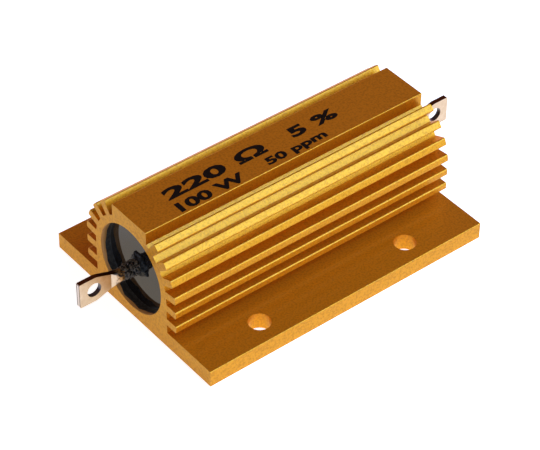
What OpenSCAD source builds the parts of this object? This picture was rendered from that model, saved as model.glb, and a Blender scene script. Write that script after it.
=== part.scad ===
// Aluminium housed wirewound power resistor, 100 W size.
// A wound ceramic core with pressed end caps sits in moulding compound inside a finned,
// gold anodised aluminium extrusion that bolts flat to a heatsink.
// The length lies along X. The origin is the centre of the mounting face, with +Z away from it.

/* [Housing] */
// length of the extruded housing
housing_length = 65.2; // [54:0.1:90]
// width of the mounting flange
flange_width = 47.5; // [39.5:0.1:60]
// thickness of the mounting flange
flange_thickness = 3.6; // [2.5:0.1:4.5]
// diameter of the through bore that takes the wound element
bore_diameter = 18.5; // [15.4:0.1:22.2]
// metal left between the bore and the mounting face
floor_under_bore = 2.2; // [1.8:0.1:3]
// metal left between the bore and the bottom of the slots
wall_round_bore = 1.6; // [1:0.1:1.9]
// metal left between the bore and the top flat
wall_over_bore = 3; // [2.5:0.1:5]
// width of the flat along the top
top_flat_width = 10.3; // [8:0.1:10.6]
// radius on the long edges of the flange and the top flat
edge_radius = 0.15; // [0.1:0.05:0.8]

/* [Fins] */
// height of a fin above the slots beside it
fin_height = 2.85; // [2.3:0.05:3.5]
// radius on the tip corners of every fin
fin_tip_radius = 0.3; // [0.1:0.05:0.6]
// number of level fins low on each side
level_fins = 2; // [1:1:2]
// thickness of a level fin
level_fin_thickness = 1.55; // [1.3:0.05:2.2]
// number of spread fins higher up on each side
spread_fins = 4; // [2:1:4]
// thickness of a spread fin
spread_fin_thickness = 1.6; // [1.45:0.05:1.95]
// width of the slot between the top flat and the highest fin, at its bottom
first_slot = 0.74; // [0.4:0.02:1.2]
// lean of the lowest spread fin from upright, in degrees
last_fin_lean = 82.6; // [80:0.1:86]

/* [Mounting holes] */
// diameter of the four mounting holes
hole_diameter = 4.4; // [3.2:0.1:5.3]
// distance from the hole centres to the ends of the housing
hole_inset_x = 15; // [5:0.1:18.1]
// distance from the hole centres to the long edges of the flange
hole_inset_y = 4.8; // [4.35:0.05:6.3]

/* [Wound element] */
// compound between the dish floor and the end cap at each end of the element
end_cover = 6.65; // [3:0.05:9]
// diameter of the ceramic core
core_diameter = 11; // [9:0.1:13.2]
// sheet thickness of the pressed end caps
cap_wall = 0.6; // [0.4:0.05:0.8]
// length of each end cap along the core
cap_length = 6; // [4:0.1:8]
// outer corner radius of the end caps
cap_corner_radius = 0.5; // [0.2:0.05:0.55]
// diameter of the resistance wire
wire_diameter = 0.9; // [0.5:0.05:1.1]
// turns of resistance wire
turns = 17; // [5:1:20]
// room between the wire and the core, the cap rims and the compound
wire_clearance = 0.01; // [0.005:0.005:0.05]

/* [Terminals] */
// distance from the end of the housing to the tip of the terminal
terminal_reach = 11.6; // [9.6:0.1:20]
// width of the terminal blade
blade_width = 5.6; // [4.6:0.1:6.8]
// thickness of the terminal blade
blade_thickness = 1; // [0.6:0.05:1.5]
// diameter of the hole in the blade
blade_hole_diameter = 3; // [2:0.1:3.6]
// distance from the hole centre to the tip
hole_to_tip = 3.2; // [2.6:0.1:4]
// distance from the hole centre to where the blade starts to thicken
hole_to_neck = 3.8; // [3.1:0.1:4.6]
// corner radius at the tip of the blade
tip_corner_radius = 0.3; // [0.1:0.05:0.6]
// diameter of the round pin that carries the blade
pin_diameter = 2.5; // [2:0.1:3]
// length over which the pin is flattened into the blade
neck_length = 1.9; // [1.5:0.1:2.4]
// how far the welded foot stands out round the pin
foot_rim = 0.95; // [0.5:0.05:1.5]
// thickness of the welded foot
foot_thickness = 0.8; // [0.5:0.05:1.5]

/* [Moulding] */
// depth of the compound below the housing end, at the bore wall
edge_depth = 1.2; // [0.5:0.05:2]
// depth of the flat floor of the dish
dish_depth = 2.35; // [2.1:0.05:3]
// width of the sloping rim round the flat floor
dish_rim = 2.05; // [1:0.05:3]
// thickness of the collar round the pin, where it leaves the dish floor
collar_wall = 0.6; // [0.5:0.05:1.2]
// thickness of the collar at its outer end
collar_end_wall = 0.3; // [0.3:0.05:0.85]
// bare pin left between the collar and the neck
bare_pin = 1.05; // [0.5:0.05:2]

/* [Hidden] */
bore_radius = bore_diameter / 2;
axis_height = floor_under_bore + bore_radius;
housing_height = axis_height + bore_radius + wall_over_bore;
root_radius = bore_radius + wall_round_bore;
tip_radius = root_radius + fin_height;
// the fins start inside the wall round the bore
fin_start = bore_radius + wall_round_bore / 2;
// the highest fin stands clear of the top flat, and the others are spread evenly from it
spread_fin_half = spread_fin_thickness / 2;
first_fin_root = asin((top_flat_width / 2 + first_slot) / norm([root_radius, spread_fin_half]));
first_fin_lean = first_fin_root + atan(spread_fin_half / root_radius);
fin_spread = (last_fin_lean - first_fin_lean) / (spread_fins - 1);
// the lower corner of the lowest spread fin, from which the level fins are shared out
low_fin_edge = axis_height + tip_radius * cos(last_fin_lean) - spread_fin_half * sin(last_fin_lean);
level_room = low_fin_edge - flange_thickness - level_fins * level_fin_thickness;
level_slot = level_room / (level_fins + 1);
hole_spacing_x = housing_length - 2 * hole_inset_x;
hole_spacing_y = flange_width - 2 * hole_inset_y;

dish_edge = housing_length / 2 - edge_depth;
dish_floor = housing_length / 2 - dish_depth;
dish_floor_radius = bore_radius - dish_rim;

core_radius = core_diameter / 2;
cap_radius = core_radius + cap_wall;
cap_end = dish_floor - end_cover;
cap_rim = cap_end - cap_length;
core_length = 2 * (cap_end - cap_wall);
// the wire is six-sided with a flat against the core, and each turn is made of straight steps
wire_sides = 6;
steps_per_turn = 20;
wire_radius = wire_diameter / 2;
wire_flat = wire_radius * cos(180 / wire_sides);
coil_radius = core_radius / cos(180 / steps_per_turn) + wire_flat + wire_clearance;
coil_length = 2 * (cap_rim - wire_radius - wire_clearance);
winding_radius = coil_radius + wire_flat + wire_clearance;

hole_x = housing_length / 2 + terminal_reach - hole_to_tip;
neck_x = hole_x - hole_to_neck;
pin_end = neck_x - neck_length;
pin_radius = pin_diameter / 2;
foot_radius = pin_radius + foot_rim;
collar_end = pin_end - bare_pin;
blade_half = blade_width / 2;
// the sides of the blade leave its round heel as tangents and run in to the pin
heel_run = hole_to_neck + neck_length / 2;
heel_tangent = acos((blade_half - pin_radius) / heel_run);
neck_half = (blade_half - hole_to_neck * cos(heel_tangent)) / sin(heel_tangent);

// overlap between shapes that are fused, so that no skin is left between them
join = 0.01;
// how far a cutter runs past the faces that it cuts
past = 1;
// thickness of the end slices from which the neck of a terminal is blended
slice = 0.05;

$fn = 64;

// A bar with its corners rounded at the far end, lying along +X from start to reach.
module fin_section(start, reach, thickness, corner) {
    translate([start, -thickness / 2])
        square([reach - corner - start, thickness]);
    translate([reach - corner - join, -thickness / 2 + corner])
        square([corner + join, thickness - 2 * corner]);
    for (side = [-1, 1])
        translate([reach - corner, side * (thickness / 2 - corner)])
            circle(corner);
}

// A bar standing on the mounting face, with its two upper corners rounded.
module slab_section(width, height, corner) {
    translate([-width / 2, 0])
        square([width, height - corner]);
    translate([-width / 2 + corner, height - corner - join])
        square([width - 2 * corner, corner + join]);
    for (side = [-1, 1])
        translate([side * (width / 2 - corner), height - corner])
            circle(corner);
}

// The fins of one side of the extrusion, low ones level and high ones fanned out.
module side_fins() {
    for (i = [0 : level_fins - 1])
        translate([0, flange_thickness + level_slot * (i + 1) + level_fin_thickness * (i + 0.5)])
            fin_section(fin_start, tip_radius, level_fin_thickness, fin_tip_radius);
    translate([0, axis_height])
        for (i = [0 : spread_fins - 1])
            rotate(90 - first_fin_lean - i * fin_spread)
                fin_section(fin_start, tip_radius, spread_fin_thickness, fin_tip_radius);
}

// Cross-section of the extrusion, across the housing.
module housing_section() {
    difference() {
        union() {
            slab_section(flange_width, flange_thickness, edge_radius);
            slab_section(top_flat_width, housing_height, edge_radius);
            translate([0, axis_height])
                circle(root_radius);
            translate([-root_radius, 0])
                square([2 * root_radius, axis_height]);
            side_fins();
            mirror([1, 0])
                side_fins();
        }
        translate([0, axis_height])
            circle(bore_radius);
    }
}

module housing() {
    color("#cf8a2c")
    difference() {
        rotate([90, 0, 90])
            linear_extrude(housing_length, center = true)
                housing_section();
        for (x = [-1, 1], y = [-1, 1])
            translate([x * hole_spacing_x / 2, y * hole_spacing_y / 2, -past])
                cylinder(d = hole_diameter, h = flange_thickness + 2 * past);
    }
}

// Puts a shape made along +Z on to the bore axis, facing +X.
module on_axis() {
    translate([0, 0, axis_height])
        rotate([0, 90, 0])
            children();
}

// Repeats its child at the other end of the housing.
module both_ends() {
    children();
    mirror([1, 0, 0])
        children();
}

module ceramic_core() {
    color("#e9e4d8")
        on_axis()
            cylinder(r = core_radius, h = core_length, center = true);
}

// Outer form of one end cap with its rounded corner, closed.
module cap_body() {
    on_axis()
        rotate_extrude() {
            translate([0, cap_rim])
                square([cap_radius, cap_length - cap_corner_radius]);
            translate([0, cap_end - cap_corner_radius - join])
                square([cap_radius - cap_corner_radius, cap_corner_radius + join]);
            translate([cap_radius - cap_corner_radius, cap_end - cap_corner_radius])
                circle(cap_corner_radius);
        }
}

module end_cap() {
    color("#b9bcc0")
    difference() {
        cap_body();
        on_axis()
            translate([0, 0, cap_rim - past])
                cylinder(r = core_radius, h = core_length / 2 - cap_rim + past);
    }
}

// One ring of points round the wire at each step along the coil.
function wire_ring(step, along) = [
    for (side = [0 : wire_sides - 1])
        let (turn = 360 * step / steps_per_turn,
             face = 360 * (side + 0.5) / wire_sides,
             reach = coil_radius + wire_radius * cos(face))
        [along + wire_radius * sin(face), reach * cos(turn), axis_height + reach * sin(turn)]
];

module resistance_winding() {
    steps = turns * steps_per_turn;
    rings = [for (i = [0 : steps]) wire_ring(i, coil_length * (i / steps - 0.5))];
    points = [for (ring = rings) each ring];
    skin = [
        for (i = [0 : steps - 1], s = [0 : wire_sides - 1])
            let (a = i * wire_sides + s,
                 b = i * wire_sides + (s + 1) % wire_sides)
            each [[a, b, b + wire_sides], [a, b + wire_sides, a + wire_sides]]
    ];
    first_end = [for (s = [wire_sides - 1 : -1 : 0]) s];
    last_end = [for (s = [0 : wire_sides - 1]) steps * wire_sides + s];
    color("#8d8478")
        polyhedron(points, concat(skin, [first_end, last_end]));
}

// Flat outline of the blade: square tip, round heel about the hole, sides running to the pin.
module blade_section() {
    tip = hole_to_tip - tip_corner_radius;
    square_part = blade_width - 2 * tip_corner_radius;
    translate([0, -blade_half])
        square([tip, blade_width]);
    translate([tip - join, -square_part / 2])
        square([tip_corner_radius + join, square_part]);
    for (side = [-1, 1])
        translate([tip, side * square_part / 2])
            circle(tip_corner_radius);
    intersection() {
        circle(blade_half);
        translate([-blade_width, -blade_half])
            square([blade_width + join, blade_width]);
    }
    heel = [-blade_half * cos(heel_tangent), blade_half * sin(heel_tangent)];
    polygon([[0, -heel[1]], [heel[0], -heel[1]], [-hole_to_neck, -neck_half],
             [-hole_to_neck, neck_half], [heel[0], heel[1]], [0, heel[1]]]);
}

module terminal() {
    color("#cdbfae")
    difference() {
        union() {
            translate([hole_x, 0, axis_height])
                rotate([90, 0, 0])
                    linear_extrude(blade_thickness, center = true)
                        blade_section();
            hull() {
                translate([neck_x, -blade_thickness / 2, axis_height - neck_half])
                    cube([slice, blade_thickness, 2 * neck_half]);
                on_axis()
                    translate([0, 0, pin_end - slice])
                        cylinder(r = pin_radius, h = slice, $fn = 32);
            }
            on_axis() {
                translate([0, 0, cap_end])
                    cylinder(r = pin_radius, h = pin_end - cap_end);
                translate([0, 0, cap_end])
                    cylinder(r = foot_radius, h = foot_thickness);
            }
        }
        translate([hole_x, 0, axis_height])
            rotate([90, 0, 0])
                cylinder(d = blade_hole_diameter, h = blade_thickness + 2 * past, center = true);
    }
}

// Space that the wound element and the terminals take up inside the compound.
module element_space() {
    on_axis()
        cylinder(r = winding_radius, h = 2 * (cap_rim + join), center = true);
    both_ends() {
        cap_body();
        on_axis() {
            translate([0, 0, cap_end - join])
                cylinder(r = pin_radius, h = collar_end - cap_end + join + past);
            translate([0, 0, cap_end - join])
                cylinder(r = foot_radius, h = foot_thickness + join);
        }
    }
}

// Compound from the dish floor of one end to the other, with a sloping rim and a collar.
module compound_body() {
    on_axis() {
        cylinder(r = bore_radius, h = 2 * dish_floor, center = true);
        for (end = [0, 1])
            mirror([0, 0, end])
                rotate_extrude()
                    polygon([[dish_floor_radius, dish_floor - join],
                             [bore_radius, dish_floor - join],
                             [bore_radius, dish_edge],
                             [dish_floor_radius, dish_floor]]);
        for (end = [0, 1])
            mirror([0, 0, end])
                translate([0, 0, dish_floor - join])
                    cylinder(r1 = pin_radius + collar_wall, r2 = pin_radius + collar_end_wall,
                             h = collar_end - dish_floor + join);
    }
}

module moulding() {
    color("#1b1a19")
    difference() {
        compound_body();
        element_space();
    }
}

module end_cap_left() { mirror([1, 0, 0]) end_cap(); }
module end_cap_right() { end_cap(); }
module terminal_left() { mirror([1, 0, 0]) terminal(); }
module terminal_right() { terminal(); }

housing();
moulding();
ceramic_core();
resistance_winding();
end_cap_left();
end_cap_right();
terminal_left();
terminal_right();
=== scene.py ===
"""Looks of an aluminium housed power resistor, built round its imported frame.

The frame gives every piece of the resistor at its real size and place. This script dresses those
pieces, adds what is too fine or too irregular for the frame, and sets up a plain studio.
"""

from __future__ import annotations

import logging
import math
from dataclasses import dataclass, field
from enum import Enum
from typing import Any

import bmesh
import bpy
from mathutils import Matrix, Vector

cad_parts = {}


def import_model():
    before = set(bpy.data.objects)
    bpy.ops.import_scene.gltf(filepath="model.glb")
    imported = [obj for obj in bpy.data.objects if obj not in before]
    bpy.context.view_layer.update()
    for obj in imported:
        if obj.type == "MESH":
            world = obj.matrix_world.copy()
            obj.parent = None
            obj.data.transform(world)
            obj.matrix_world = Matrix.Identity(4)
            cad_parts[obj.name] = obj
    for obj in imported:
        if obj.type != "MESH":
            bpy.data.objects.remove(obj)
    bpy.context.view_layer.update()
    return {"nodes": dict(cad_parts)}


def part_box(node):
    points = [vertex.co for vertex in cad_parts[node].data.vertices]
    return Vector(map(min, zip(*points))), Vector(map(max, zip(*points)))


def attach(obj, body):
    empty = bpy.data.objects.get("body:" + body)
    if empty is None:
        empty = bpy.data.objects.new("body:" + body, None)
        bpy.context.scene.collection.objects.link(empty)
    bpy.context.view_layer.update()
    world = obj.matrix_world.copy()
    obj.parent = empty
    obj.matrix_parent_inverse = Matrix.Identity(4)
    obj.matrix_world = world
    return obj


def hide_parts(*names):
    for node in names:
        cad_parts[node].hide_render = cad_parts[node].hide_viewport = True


log = logging.getLogger("power_resistor")

MM = 0.001
BODY = "root"

Colour = tuple[float, float, float, float]
Material = bpy.types.Material
Mesh = bpy.types.Mesh
Node = bpy.types.Node
Piece = bpy.types.Object
Socket = bpy.types.NodeSocket
Tree = bpy.types.NodeTree


# ---------------------------------------------------------------------------------------------
# Helpers
# ---------------------------------------------------------------------------------------------


def linear(code: str) -> Colour:
    """Turns an sRGB hex colour into linear light.

    Args:
        code: Six hex digits, with or without a leading #.

    Returns:
        The linear red, green and blue, with an alpha of 1.
    """
    digits = code.lstrip("#")
    channels = []
    for start in (0, 2, 4):
        value = int(digits[start : start + 2], 16) / 255
        channels.append(value / 12.92 if value <= 0.04045 else ((value + 0.055) / 1.055) ** 2.4)
    return channels[0], channels[1], channels[2], 1.0


def add(
    tree: Tree, kind: str, sockets: dict[str | int, Any] | None = None, **settings: Any
) -> Node:
    """Adds a node to a tree with its settings, values and links.

    Args:
        tree: The shader or geometry tree.
        kind: The node's type name.
        sockets: For each input, by name or number, its value, the output that feeds it, or the
            node whose first output feeds it.
        **settings: The node's own properties.

    Returns:
        The new node.
    """
    node = tree.nodes.new(kind)
    for name, value in settings.items():
        setattr(node, name, value)
    for key, value in (sockets or {}).items():
        if isinstance(value, Node):
            tree.links.new(value.outputs[0], node.inputs[key])
        elif isinstance(value, Socket):
            tree.links.new(value, node.inputs[key])
        else:
            node.inputs[key].default_value = value
    return node


def per_mm(size_mm: float) -> float:
    """Returns the texture scale at which one unit of a pattern is size_mm long."""
    return 1 / (size_mm * MM)


def new_tree(name: str) -> tuple[Material, Tree]:
    """Makes an empty node material.

    Args:
        name: The material's name.

    Returns:
        The material and its node tree, with no nodes in it.
    """
    material = bpy.data.materials.new(name)
    material.use_nodes = True
    material.node_tree.nodes.clear()
    return material, material.node_tree


def close_shader(tree: Tree, surface: Node) -> None:
    """Feeds a shader to the material's output."""
    add(tree, "ShaderNodeOutputMaterial", {"Surface": surface})


def lay_over(
    tree: Tree, ground: Colour | Socket, layers: tuple[tuple[Node, Colour | Socket], ...]
) -> Socket:
    """Lays colours over a ground, one after another.

    Args:
        tree: The material's tree.
        ground: The colour that lies under them all.
        layers: For each layer, the node that says where it lies, and its colour.

    Returns:
        The colour that results.
    """
    colour = ground
    for share, cover in layers:
        mix = add(
            tree, "ShaderNodeMix", {"Factor": share, "A": colour, "B": cover}, data_type="RGBA"
        )
        colour = mix.outputs["Result"]
    return colour


def new_piece(name: str, data: Any) -> Piece:
    """Adds an object to the scene.

    Args:
        name: The object's name.
        data: Its mesh, text or camera.

    Returns:
        The object, at the origin.
    """
    piece = bpy.data.objects.new(name, data)
    bpy.context.scene.collection.objects.link(piece)
    return piece


def new_mesh(name: str, vertices: list[Any], faces: list[tuple[int, ...]]) -> Mesh:
    """Makes a mesh from its vertices and faces.

    Args:
        name: The mesh's name.
        vertices: The places of its vertices, in metres.
        faces: For each face, the numbers of its vertices.

    Returns:
        The mesh.
    """
    mesh = bpy.data.meshes.new(name)
    mesh.from_pydata(vertices, [], faces)
    return mesh


def dress(piece: Piece, material: Material) -> None:
    """Gives every material slot of a piece the same material.

    Args:
        piece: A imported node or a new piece.
        material: The finish.
    """
    if not piece.material_slots:
        piece.data.materials.append(material)
    for slot in piece.material_slots:
        slot.material = material


def close_mesh(mesh: Mesh, turn_outwards: bool = True) -> None:
    """Merges the doubles of a mesh and turns its faces outwards.

    Args:
        mesh: A mesh with no open side once its doubles are merged.
        turn_outwards: False for a mesh with a closed room inside, whose faces already point
            the right way.
    """
    work = bmesh.new()
    work.from_mesh(mesh)
    bmesh.ops.remove_doubles(work, verts=work.verts[:], dist=0.001 * MM)
    if turn_outwards:
        bmesh.ops.recalc_face_normals(work, faces=work.faces[:])
    work.to_mesh(mesh)
    work.free()


# ---------------------------------------------------------------------------------------------
# Finishes
# ---------------------------------------------------------------------------------------------


@dataclass(frozen=True)
class GoldAnodisedAluminium:
    """Extruded aluminium, etched and dyed gold, then sealed.

    The metal is bright under a thin clear oxide, so it mirrors its surroundings softly in gold.
    The dye in the pores of the oxide scatters some of the light, which keeps shaded faces brown.
    Faces that look up are given a darker, more orange colour, which is painted shade.
    The die leaves fine lines along the extrusion, the saw leaves bands on the cut ends, and the
    etch leaves small dull pits all over. The lines, bands and pits are drawn coarser than the
    real ones, so that they show. Lengths are in millimetres.
    """

    dye_light: str = "#e9b52e"
    dye_deep: str = "#e1aa27"
    # painted shade: the darker, more orange colour of faces that look up
    painted_top_shade: str = "#de9b20"
    cut_dye: str = "#e0b02b"
    roughness: float = 0.44
    cut_roughness: float = 0.46
    scatter: float = 0.28
    scatter_dye: str = "#e67c10"
    die_line_width: float = 0.16
    die_line_length: float = 30.0
    dye_cloud_size: float = 14.0
    etch_grain: float = 0.4
    etch_roughness: float = 0.6
    etch_depth: float = 0.45
    etch_dye: str = "#8f5c0c"
    pit_range: tuple[float, float] = (0.42, 0.7)
    flat_facing: float = 0.97
    cut_facing: float = 0.9
    line_roughness: float = 0.05
    saw_pitch: float = 0.55
    line_depth: float = 0.0015
    grain_depth: float = 0.005
    coat_weight: float = 0.32
    coat_roughness: float = 0.15

    def build(self) -> Material:
        """Makes the finish.

        Returns:
            The material, ready to dress pieces with.
        """
        material, tree = new_tree("gold_anodised_aluminium")
        place = add(tree, "ShaderNodeTexCoord")
        along = add(
            tree,
            "ShaderNodeMapping",
            {
                "Vector": place.outputs["Object"],
                "Scale": (
                    per_mm(self.die_line_length),
                    per_mm(self.die_line_width),
                    per_mm(self.die_line_width),
                ),
            },
        )
        lines = add(
            tree,
            "ShaderNodeTexNoise",
            {"Vector": along, "Scale": 1.0, "Detail": 3.0, "Roughness": 0.6},
        )
        clouds, grain = (
            add(
                tree,
                "ShaderNodeTexNoise",
                {"Vector": place.outputs["Object"], "Scale": per_mm(size), "Detail": detail},
            )
            for size, detail in ((self.dye_cloud_size, 2.0), (self.etch_grain, 1.0))
        )
        saw = add(
            tree,
            "ShaderNodeTexWave",
            {
                "Vector": place.outputs["Object"],
                "Scale": per_mm(self.saw_pitch) / (2 * math.pi),
                "Distortion": 1.5,
                "Detail": 2.0,
            },
            wave_type="BANDS",
            bands_direction="Z",
        )
        facing = add(tree, "ShaderNodeSeparateXYZ", {"Vector": place.outputs["Normal"]})
        end_on = add(tree, "ShaderNodeMath", {0: facing.outputs["X"]}, operation="ABSOLUTE")
        is_cut = add(
            tree, "ShaderNodeMath", {0: end_on, 1: self.cut_facing}, operation="GREATER_THAN"
        )
        dye_mix = add(tree, "ShaderNodeMath", {0: clouds, 1: lines}, operation="MULTIPLY")
        faces_up = add(
            tree,
            "ShaderNodeMath",
            {0: facing.outputs["Z"], 1: self.flat_facing},
            operation="GREATER_THAN",
        )
        pit_start, pit_full = self.pit_range
        pits = add(
            tree,
            "ShaderNodeMapRange",
            {
                "Value": grain,
                "From Min": pit_start,
                "From Max": pit_full,
                "To Min": 0.0,
                "To Max": self.etch_depth,
            },
        )
        colour = lay_over(
            tree,
            linear(self.dye_light),
            (
                (dye_mix, linear(self.dye_deep)),
                # painted shade: faces that look up take a darker, more orange colour
                (faces_up, linear(self.painted_top_shade)),
                (is_cut, linear(self.cut_dye)),
                (pits, linear(self.etch_dye)),
            ),
        )
        rough_lines = add(
            tree,
            "ShaderNodeMapRange",
            {
                "Value": lines,
                "To Min": self.roughness - self.line_roughness,
                "To Max": self.roughness + self.line_roughness,
            },
        )
        rough_flats = add(
            tree,
            "ShaderNodeMix",
            {"Factor": faces_up, "A": rough_lines, "B": self.etch_roughness},
            data_type="FLOAT",
        )
        rough, marks = (
            add(
                tree,
                "ShaderNodeMix",
                {"Factor": is_cut, "A": lengthwise, "B": cut},
                data_type="FLOAT",
            )
            for lengthwise, cut in (
                (rough_flats.outputs["Result"], self.cut_roughness), (lines, saw)
            )
        )
        mark_bump = add(
            tree,
            "ShaderNodeBump",
            {"Height": marks.outputs["Result"], "Distance": self.line_depth * MM},
        )
        grain_bump = add(
            tree,
            "ShaderNodeBump",
            {"Height": grain, "Distance": self.grain_depth * MM, "Normal": mark_bump},
        )
        surface = add(
            tree,
            "ShaderNodeBsdfPrincipled",
            {
                "Base Color": colour,
                "Metallic": 1.0,
                "Roughness": rough.outputs["Result"],
                "Coat Weight": self.coat_weight,
                "Coat Roughness": self.coat_roughness,
                "Normal": grain_bump,
            },
        )
        scattered = add(
            tree, "ShaderNodeBsdfDiffuse", {"Color": linear(self.scatter_dye), "Normal": grain_bump}
        )
        both = add(tree, "ShaderNodeMixShader", {0: self.scatter, 1: surface, 2: scattered})
        close_shader(tree, both)
        return material


@dataclass(frozen=True)
class MouldingCompound:
    """Black silicone moulding compound, poured and cured to a mirror gloss with faint waves.

    Where it has crept over another surface or stands in a heap, its skin is rougher, so it
    mirrors less and looks blacker there. Lengths are in millimetres.
    """

    name: str = "black_moulding_compound"
    # the colours on the crests of the waves and in their troughs; on the collar they are a painted
    # highlight and painted shade
    body: str = "#242321"
    pits: str = "#1f1e1c"
    gloss: float = 1.49
    gloss_tint: str = "#c5e3ff"
    roughness: float = 0.035
    wave_size: float = 5.0
    wave_depth: float = 0.012
    wave_range: tuple[float, float] = (0.42, 0.58)

    def build(self) -> Material:
        """Makes the finish.

        Returns:
            The material, ready to dress pieces with.
        """
        material, tree = new_tree(self.name)
        place = add(tree, "ShaderNodeTexCoord")
        waves = add(
            tree,
            "ShaderNodeTexNoise",
            {"Vector": place.outputs["Object"], "Scale": per_mm(self.wave_size), "Detail": 1.0},
        )
        bump = add(tree, "ShaderNodeBump", {"Height": waves, "Distance": self.wave_depth * MM})
        trough, crest = self.wave_range
        raised = add(
            tree, "ShaderNodeMapRange", {"Value": waves, "From Min": trough, "From Max": crest}
        )
        # lighter on the crests and darker in the troughs, which on the collar is painted highlight
        # and painted shade
        colour = lay_over(tree, linear(self.pits), ((raised, linear(self.body)),))
        surface = add(
            tree,
            "ShaderNodeBsdfPrincipled",
            {
                "Base Color": colour,
                "Roughness": self.roughness,
                "IOR": self.gloss,
                "Specular Tint": linear(self.gloss_tint),
                "Normal": bump,
            },
        )
        close_shader(tree, surface)
        return material


@dataclass(frozen=True)
class TinnedBrass:
    """Brass strip with a thin tin skin: warm silver faces, brown where solder heat tarnished it.

    The punched edges have lost the tin and show dark brown brass, and the sheared end shows
    bright metal between two dark burrs. Lengths are in millimetres. The places are measured from
    the middle of the resistor and from its mounting face.
    """

    tin: str = "#efe2cd"
    tin_patch: str = "#c9b391"
    bare_edge: str = "#6a3f1e"
    edge_facing: tuple[float, float] = (0.75, 0.9)
    end_face: str = "#d9d4d0"
    end_facing: tuple[float, float] = (0.8, 0.95)
    burr: str = "#1c120c"
    burr_band: tuple[float, float] = (0.26, 0.36)
    # painted shade: the wall of the punched hole is dark grey
    hole_shade: str = "#64646a"
    hole_place: float = 41.0
    hole_reach: float = 1.75
    side_facing: float = 0.5
    axis_height: float = 11.45
    tarnish: str = "#d9a55c"
    tarnish_band: tuple[float, float] = (35.6, 37.2)
    tarnish_range: tuple[float, float] = (0.25, 0.5)
    burnt: str = "#3a2412"
    burnt_range: tuple[float, float] = (0.5, 0.58)
    oxide: float = 0.6
    roughness: float = 0.3
    patch_size: float = 0.9
    scratch_width: float = 0.09
    scratch_length: float = 3.0
    scratch_depth: float = 0.003

    def build(self) -> Material:
        """Makes the finish.

        Returns:
            The material, ready to dress pieces with.
        """
        material, tree = new_tree("tinned_brass")
        place = add(tree, "ShaderNodeTexCoord")
        patches = add(
            tree,
            "ShaderNodeTexNoise",
            {"Vector": place.outputs["Object"], "Scale": per_mm(self.patch_size), "Detail": 3.0},
        )
        along = add(
            tree,
            "ShaderNodeMapping",
            {
                "Vector": place.outputs["Object"],
                "Scale": (
                    per_mm(self.scratch_length),
                    per_mm(self.scratch_width),
                    per_mm(self.scratch_width),
                ),
            },
        )
        scratches = add(tree, "ShaderNodeTexNoise", {"Vector": along, "Scale": 1.0, "Detail": 2.0})
        facing = add(tree, "ShaderNodeSeparateXYZ", {"Vector": place.outputs["Normal"]})
        where = add(tree, "ShaderNodeSeparateXYZ", {"Vector": place.outputs["Object"]})
        outward, sideways, upright = (
            add(tree, "ShaderNodeMath", {0: facing.outputs[axis]}, operation="ABSOLUTE")
            for axis in "XYZ"
        )
        out, aside = (
            add(tree, "ShaderNodeMath", {0: where.outputs[axis]}, operation="ABSOLUTE")
            for axis in "XY"
        )
        on_edge, on_end, on_burr, burnt_spots = (
            add(tree, "ShaderNodeMapRange", {"Value": value, "From Min": low, "From Max": high})
            for value, (low, high) in (
                (upright, self.edge_facing),
                (outward, self.end_facing),
                (aside, [edge * MM for edge in self.burr_band]),
                (patches, self.burnt_range),
            )
        )
        burred = add(tree, "ShaderNodeMath", {0: on_burr, 1: on_end}, operation="MULTIPLY")
        punched = self.hole_share(tree, out, where, sideways)

        # the tarnish is ragged, because it follows the patches as it fades
        full, none = self.tarnish_band
        near_root = add(
            tree,
            "ShaderNodeMapRange",
            {
                "Value": out,
                "From Min": full * MM,
                "From Max": none * MM,
                "To Min": 1.0,
                "To Max": 0.0,
            },
        )
        ragged = add(tree, "ShaderNodeMath", {0: near_root, 1: patches}, operation="MULTIPLY")
        faint, strong = self.tarnish_range
        stain = add(
            tree, "ShaderNodeMapRange", {"Value": ragged, "From Min": faint, "From Max": strong}
        )
        stained = lay_over(tree, linear(self.tarnish), ((burnt_spots, linear(self.burnt)),))
        colour = lay_over(
            tree,
            linear(self.tin),
            (
                (patches, linear(self.tin_patch)),
                (on_edge, linear(self.bare_edge)),
                (on_end, linear(self.end_face)),
                (burred, linear(self.burr)),
                # painted shade on the wall of the punched hole
                (punched, linear(self.hole_shade)),
                (stain, stained),
            ),
        )
        bump = add(
            tree, "ShaderNodeBump", {"Height": scratches, "Distance": self.scratch_depth * MM}
        )
        bare_metal = add(
            tree, "ShaderNodeMath", {0: stain, 1: -self.oxide, 2: 1.0}, operation="MULTIPLY_ADD"
        )
        surface = add(
            tree,
            "ShaderNodeBsdfPrincipled",
            {
                "Base Color": colour,
                "Metallic": bare_metal,
                "Roughness": self.roughness,
                "Normal": bump,
            },
        )
        close_shader(tree, surface)
        return material

    def hole_share(self, tree: Tree, out: Node, where: Node, sideways: Node) -> Node:
        """Adds the nodes that find the wall of the punched hole.

        Args:
            tree: The material's tree.
            out: The distance from the middle of the resistor, along its length.
            where: The place on the piece, by axis.
            sideways: How far the surface faces across the resistor.

        Returns:
            The node that gives 1 on the wall of the hole, and 0 elsewhere.
        """
        from_hole = add(tree, "ShaderNodeCombineXYZ", {"X": out, "Y": 0.0, "Z": where.outputs["Z"]})
        hole_middle = Vector((self.hole_place * MM, 0.0, self.axis_height * MM))
        off_hole = add(
            tree, "ShaderNodeVectorMath", {0: from_hole, 1: hole_middle}, operation="DISTANCE"
        )
        in_hole = add(
            tree,
            "ShaderNodeMath",
            {0: off_hole.outputs["Value"], 1: self.hole_reach * MM},
            operation="LESS_THAN",
        )
        off_face = add(
            tree, "ShaderNodeMath", {0: sideways, 1: self.side_facing}, operation="LESS_THAN"
        )
        return add(tree, "ShaderNodeMath", {0: in_hole, 1: off_face}, operation="MULTIPLY")


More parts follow.
